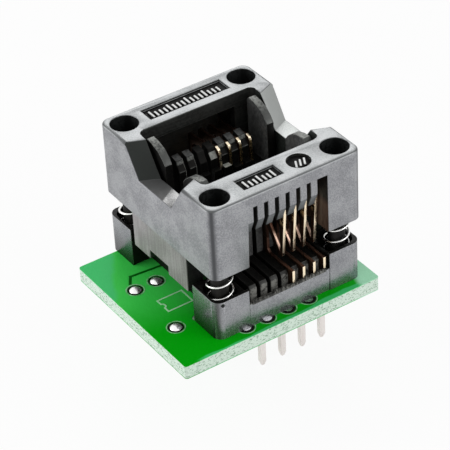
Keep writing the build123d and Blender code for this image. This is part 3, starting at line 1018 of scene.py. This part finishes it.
@dataclass
class Flash:
    """The ragged moulding flash left along the top edge of the low wall before the ribs."""

    half: float = 4.5
    low: float = 2.72
    rise: float = 0.3
    foot: float = 0.12
    ridge: float = 0.06
    near: float = 10.04
    far: float = 9.66
    steps: int = 120

    def build(self, finish: Finish) -> bpy.types.Object:
        """Build the ragged strip as a closed ridge along the near wall."""
        bm = bmesh.new()
        rows = []
        for i in range(self.steps + 1):
            x = -self.half + 2 * self.half * i / self.steps
            tall = 0.5 + 0.5 * noise.noise(Vector((x * 2.3, 3.1, 0.0)))
            jag = 0.5 + 0.5 * noise.noise(Vector((x * 9.0, 0.4, 1.0)))
            top = self.low + self.rise * max(0.1, tall * jag * 2.2 - 0.15)
            lean = 0.1 * noise.noise(Vector((x * 5.0, 7.7, 0.0)))
            middle = (self.near + self.far) / 2 + lean
            ring = [
                (-self.near, self.low - self.foot),
                (-middle - self.ridge, top),
                (-middle + self.ridge, top - 0.02),
                (-self.far, self.low - self.foot),
            ]
            rows.append([bm.verts.new(at(x, y, z)) for y, z in ring])
        for left, right in zip(rows, rows[1:]):
            band(bm, left, right)
        bm.faces.new(rows[0])
        bm.faces.new(list(reversed(rows[-1])))
        bmesh.ops.recalc_face_normals(bm, faces=bm.faces)
        piece = linked(bm, "moulding_flash")
        # The flash takes the patchy grey, partly painted light.
        dress(piece, [finish.knob])
        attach(piece, Body.ADAPTER.value)
        return piece


@dataclass
class SeatGuides:
    """Short guides that stand between the leads of a seated package, seven to a row."""

    half: float = 0.42
    near: float = 2.2
    far: float = 2.86
    foot: float = 8.9
    sunk: float = 0.05
    top: float = 10.2
    right_drop: float = 0.5
    pitch: float = 1.27
    edge: float = 0.05

    def build(self, finish: Finish) -> bpy.types.Object:
        """Build the guides of both rows as one piece."""
        bm = bmesh.new()
        for side in (-1, 1):
            for i in range(-3, 4):
                top = self.top if i < 2 else self.top - self.right_drop
                self._block(bm, i * self.pitch, side, top)
        soften(bm, self.edge, 0.1)
        piece = linked(bm, "seat_guides")
        # Guides take the painted-shade black, with a painted highlight on some heads.
        dress(piece, [finish.rib, finish.pale], self.pick)
        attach(piece, Body.ADAPTER.value)
        return piece

    def pick(self, c: Vector, n: Vector) -> int:
        """1 on the heads one pitch right of the middle, which take a painted highlight, else 0."""
        return 1 if n.z > 0.5 and abs(c.x - self.pitch) < 0.5 else 0

    def _block(self, bm: bmesh.types.BMesh, x: float, side: int, top: float) -> None:
        """Add one guide with its foot sunk a little into the seat.

        Args:
            bm: The mesh.
            x: Its place along the row.
            side: The sign of Y of its row.
            top: Its height.
        """
        made = bmesh.ops.create_cube(bm, size=1.0)
        low = at(x - self.half, side * self.near, self.foot - self.sunk)
        high = at(x + self.half, side * self.far, top)
        for vert in made["verts"]:
            vert.co = Vector([a if c < 0 else b for a, b, c in zip(low, high, vert.co)])
        if side < 0:
            bmesh.ops.reverse_faces(bm, faces=list({f for v in made["verts"] for f in v.link_faces}))


@dataclass(frozen=True)
class Coil:
    """One spring: its lead and the height at which a turn passes the side turned to the camera."""

    corner: Corner
    lead: float
    mark: float


@dataclass
class Springs:
    """Four compression springs with closed ends."""

    post_x: float = 7.14
    post_y: float = 8.15
    low: float = 1.2
    high: float = 9.8
    travel: float = 2.2
    outer_r: float = 1.42
    wire: float = 0.25
    closed_lead: float = 1.04
    facing: float = 232.0
    sides: int = 10
    steps: int = 44
    coils: tuple[Coil, ...] = (
        Coil(Corner.FRONT_LEFT, 1.5, 4.33),
        Coil(Corner.FRONT_RIGHT, 1.38, 4.95),
        Coil(Corner.REAR_LEFT, 1.5, 5.45),
        Coil(Corner.REAR_RIGHT, 1.45, 5.0),
    )

    def build(self, finish: Finish) -> list[bpy.types.Object]:
        """Build all four springs."""
        made = []
        for coil in self.coils:
            name = "spring_" + coil.corner.name.lower()
            piece = self._tube(name + "_coil", coil)
            dress(piece, [finish.steel])
            piece.data.shade_smooth()
            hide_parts(name)
            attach(piece, Body.ADAPTER.value)
            tuple(at(0, 0, self.low))
            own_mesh(piece)
            made.append(piece)
        return made

    def _centres(self, coil: Coil) -> list[tuple[float, float]]:
        """The wire's centre line as pairs of angle and height, closed for one turn at each end."""
        close = self.wire * self.closed_lead
        start = self.low + self.wire / 2
        end = self.high - self.wire / 2
        middle = (end - start - 2 * close) / coil.lead
        first = self.facing / 360 - 1.0 - (coil.mark - start - close) / coil.lead
        rows = []
        count = int((middle + 2) * self.steps)
        for i in range(count + 1):
            turn = (middle + 2) * i / count
            if turn <= 1:
                z = start + close * turn
            elif turn >= middle + 1:
                z = end - close * (middle + 2 - turn)
            else:
                z = start + close + coil.lead * (turn - 1)
            rows.append((math.tau * (turn + first), z))
        return rows

    def _tube(self, name: str, coil: Coil) -> bpy.types.Object:
        """One spring as a closed tube."""
        sx, sy = coil.corner.value
        radius = self.outer_r - self.wire / 2
        rings = []
        bm = bmesh.new()
        for angle, z in self._centres(coil):
            out = Vector((math.cos(angle), math.sin(angle), 0))
            spot = Vector((sx * self.post_x, sy * self.post_y, z)) + out * radius
            ring = []
            for k in range(self.sides):
                a = math.tau * k / self.sides
                p = spot + out * (math.cos(a) * self.wire / 2) + Vector((0, 0, math.sin(a) * self.wire / 2))
                ring.append(bm.verts.new(at(*p)))
            rings.append(ring)
        for low, high in zip(rings, rings[1:]):
            band(bm, low, high)
        bm.faces.new(list(reversed(rings[0])))
        bm.faces.new(rings[-1])
        bmesh.ops.recalc_face_normals(bm, faces=bm.faces)
        return linked(bm, name)


@dataclass
class Contacts:
    """Stamped contacts: fixed feet and swinging arms, four to a row.

    Distances are along Y from the socket axis, in millimetres like the heights.
    """

    count: int = 4
    lever_y: float = 7.95
    hook_y: float = 3.55
    hook_z: float = 11.6
    inner_y: float = 2.95
    brace_y: tuple[float, float] = (5.5, 7.72)
    brace_z: float = 9.5
    foot_y: float = 9.5
    tail_z: float = 1.9
    edge: float = 0.015

    def build(self, frame: dict, finish: Finish) -> list[bpy.types.Object]:
        """Build every foot and arm."""
        made = []
        for row, body in (("front", Body.FRONT), ("rear", Body.REAR)):
            # Flanks and edges take the painted-shade copies of the gold.
            flank = finish.lit_flank if row == "front" else finish.flank
            looks = [finish.gold, flank, finish.dim, finish.brace, finish.worn]
            for i in range(1, self.count + 1):
                for part, rides in (("foot", Body.ADAPTER), ("arm", body)):
                    node = f"contact_{part}_{row}_{i}"
                    piece = carried(frame, node, node + "_stamping", self.edge, 0.05)
                    first = row == "rear" and i == 1
                    dress(piece, looks, self.pick_arm(first) if part == "arm" else self.pick_foot)
                    smooth(piece)
                    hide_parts(node)
                    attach(piece, rides.value)
                    made.append(piece)
        return made

    def pick_arm(self, bright_inside: bool) -> Callable[[Vector, Vector], StampedFace]:
        """The rule for the kinds of an arm's faces.

        Args:
            bright_inside: Whether its inner end takes the plain gold instead of the painted-shade patches.

        Returns:
            A rule that gives the kind from a face's centre and normal.
        """

        def pick(c: Vector, n: Vector) -> StampedFace:
            """The kind of one face."""
            away, out = abs(c.y), outward(c, n)
            if abs(n.x) > 0.7:
                return StampedFace.FLANK
            if away > self.lever_y and out > 0.6:
                return StampedFace.GOLD
            if away < self.hook_y and c.z > self.hook_z and n.z > 0.2:
                return StampedFace.GOLD
            if away < self.inner_y and out < -0.6:
                return StampedFace.GOLD if bright_inside else StampedFace.WORN
            slanted = self.brace_y[0] < away < self.brace_y[1] and c.z < self.brace_z
            # Slanted brace faces take the painted light and shade copy.
            return StampedFace.BRACE if slanted and out > 0.4 and n.z > 0.3 else StampedFace.EDGE

        return pick

    def pick_foot(self, c: Vector, n: Vector) -> StampedFace:
        """The kind of a foot's face: bright gold at the outer end and the tail, painted-shade copies
        elsewhere.
        """
        if abs(n.x) > 0.7:
            return StampedFace.FLANK
        bright = c.z < self.tail_z or (abs(c.y) > self.foot_y and outward(c, n) > 0.4)
        return StampedFace.GOLD if bright else StampedFace.EDGE


@dataclass
class MaskRims:
    """Thin pale rings where the green mask stops round each pad beside the socket."""

    inner_r: float = 0.9
    outer_r: float = 1.0
    rise: float = 0.015
    sunk: float = 0.005
    sides: int = 48
    centres: tuple[tuple[float, float], ...] = (
        (-10.93, 2.12), (-8.39, 2.12), (-10.93, -5.5),
        (-5.35, -9.8), (-2.81, -9.8), (-0.27, -9.8), (2.27, -9.8),
    )

    def build(self, finish: Finish) -> bpy.types.Object:
        """Build every ring as one piece."""
        bm = bmesh.new()
        section = (
            (self.inner_r, -self.sunk), (self.inner_r, self.rise),
            (self.outer_r, self.rise), (self.outer_r, -self.sunk),
        )
        for x, y in self.centres:
            rings = []
            for radius, z in section:
                ring = []
                for k in range(self.sides):
                    a = math.tau * k / self.sides
                    ring.append(bm.verts.new(at(x + radius * math.cos(a), y + radius * math.sin(a), z)))
                rings.append(ring)
            for low, high in zip(rings, rings[1:] + rings[:1]):
                band(bm, low, high)
        bmesh.ops.recalc_face_normals(bm, faces=bm.faces)
        piece = linked(bm, "mask_rims")
        dress(piece, [finish.rim])
        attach(piece, Body.ADAPTER.value)
        return piece


class BoardNodes:
    """The nodes of the board and its pins that keep their CAD shape."""

    def build(self, frame: dict, finish: Finish) -> None:
        """Dress each node in place."""
        rows = {
            "circuit_board": finish.board, "header_strip": finish.strip, "header_pin": finish.pin,
            "pad_": finish.pad, "solder_": finish.solder, "printed_outline": finish.ink,
        }
        for name, node in frame["nodes"].items():
            for start, material in rows.items():
                if name.startswith(start):
                    node.data.materials.clear()
                    node.data.materials.append(material)


@dataclass(frozen=True)
class Lamp:
    """One square soft lamp: its place and side in millimetres and its power in watts."""

    name: str
    spot: tuple[float, float, float]
    size: float
    watts: float


@dataclass
class Studio:
    """Camera, lamps, floor and world.

    Angles are in degrees, places and distances in millimetres about the socket axis. The lamps hang
    behind and above, at the rear left and at the front right.
    """

    focal_px: float = 2196.8
    frame_px: float = 450.0
    azimuth: float = -32.423
    elevation: float = 36.074
    roll: float = -3.123
    target: tuple[float, float, float] = (-0.512, -0.354, 5.0)
    distance: float = 224.912
    centre_px: tuple[float, float] = (230.71, 225.297)
    sensor_mm: float = 36.0
    aim: tuple[float, float, float] = (0, 0, 8)
    lamps: tuple[Lamp, ...] = (
        Lamp("lamp_back", (132, 231, 190), 110, 0.15),
        Lamp("lamp_left", (-264, 148, 110), 260, 0.5),
        Lamp("lamp_front", (150, -264, 110), 260, 0.36),
    )
    room_light: float = 0.5
    backdrop_share: float = 0.93

    def build(self) -> None:
        """Set up the whole studio."""
        self._camera()
        self._world()
        for lamp in self.lamps:
            self._hang(lamp)
        self._floor()
        bpy.context.scene.view_settings.view_transform = "Standard"

    def _camera(self) -> None:
        """A pinhole camera as fitted to the photograph."""
        az, el, roll = (math.radians(v) for v in (self.azimuth, self.elevation, self.roll))
        back = Vector((math.sin(az) * math.cos(el), -math.cos(az) * math.cos(el), math.sin(el)))
        right = Vector((math.cos(az), math.sin(az), 0))
        up = back.cross(right)
        side = math.cos(roll) * right + math.sin(roll) * up
        top = -math.sin(roll) * right + math.cos(roll) * up
        data = bpy.data.cameras.new("camera")
        camera = bpy.data.objects.new("camera", data)
        bpy.context.scene.collection.objects.link(camera)
        data.sensor_width = self.sensor_mm
        data.lens = self.focal_px / self.frame_px * self.sensor_mm
        data.shift_x = -(self.centre_px[0] - self.frame_px / 2) / self.frame_px
        data.shift_y = (self.centre_px[1] - self.frame_px / 2) / self.frame_px
        data.clip_start = 0.01
        data.clip_end = 20.0
        turn = Matrix((side, top, back)).transposed().to_4x4()
        camera.matrix_world = Matrix.Translation(at(*self.target) + back * self.distance * MM) @ turn
        bpy.context.scene.camera = camera

    def _world(self) -> None:
        """Even room light; the camera and reflections see white."""
        world = bpy.data.worlds.new("studio_world")
        bpy.context.scene.world = world
        g = Graph(world)
        room = g.add("ShaderNodeBackground", None, {"Color": WHITE, "Strength": self.room_light})
        white = g.add("ShaderNodeBackground", None, {"Color": WHITE, "Strength": 1.0})
        blend = g.add("ShaderNodeMixShader", None, {0: g.plainly_seen(), 1: room, 2: white})
        g.close(blend, "ShaderNodeOutputWorld")

    def _hang(self, lamp: Lamp) -> None:
        """Make one lamp and turn it to the socket."""
        data = bpy.data.lights.new(lamp.name, "AREA")
        data.shape = "SQUARE"
        data.size = lamp.size * MM
        data.energy = lamp.watts
        hung = bpy.data.objects.new(lamp.name, data)
        bpy.context.scene.collection.objects.link(hung)
        hung.location = at(*lamp.spot)
        hung.rotation_mode = "QUATERNION"
        hung.rotation_quaternion = (at(*self.aim) - at(*lamp.spot)).to_track_quat("-Z", "Y")

    def _floor(self) -> None:
        """A pale floor that keeps a soft shadow and meets a white backdrop."""
        bpy.ops.mesh.primitive_plane_add(size=4.0, location=(0, 0, -0.0001))
        floor = bpy.context.active_object
        floor.name = "floor"
        g = Graph(bpy.data.materials.new("floor_paper"))
        tone = g.mix((0.86, 0.86, 0.86, 1), (0.9, 0.9, 0.9, 1), g.grain(6.0, 2.0, 0.5))
        paper = g.add("ShaderNodeBsdfDiffuse", None, {"Color": tone})
        white = g.add("ShaderNodeEmission", None, {"Color": WHITE, "Strength": 1.0})
        seen = g.plainly_seen() * self.backdrop_share
        blend = g.add("ShaderNodeMixShader", None, {0: seen, 1: paper, 2: white})
        g.close(blend, "ShaderNodeOutputMaterial")
        floor.data.materials.append(g.owner)


def main() -> None:
    """Build the looks in order and note each piece."""
    logging.basicConfig(level=logging.INFO, format="%(name)s: %(message)s")
    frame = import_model()
    finish = Finish()
    BoardNodes().build(frame, finish)
    LOG.info("board nodes dressed")
    mouldings = [Cover().build(frame, finish), Base().build(frame, finish)]
    extras = [SeatGuides().build(finish), Flash().build(finish), MaskRims().build(finish)]
    springs = Springs().build(finish)
    for piece in mouldings + extras + springs + Contacts().build(frame, finish):
        LOG.info("%s: %d faces", piece.name, len(piece.data.polygons))
    Studio().build()


if __name__ == "__main__":
    main()
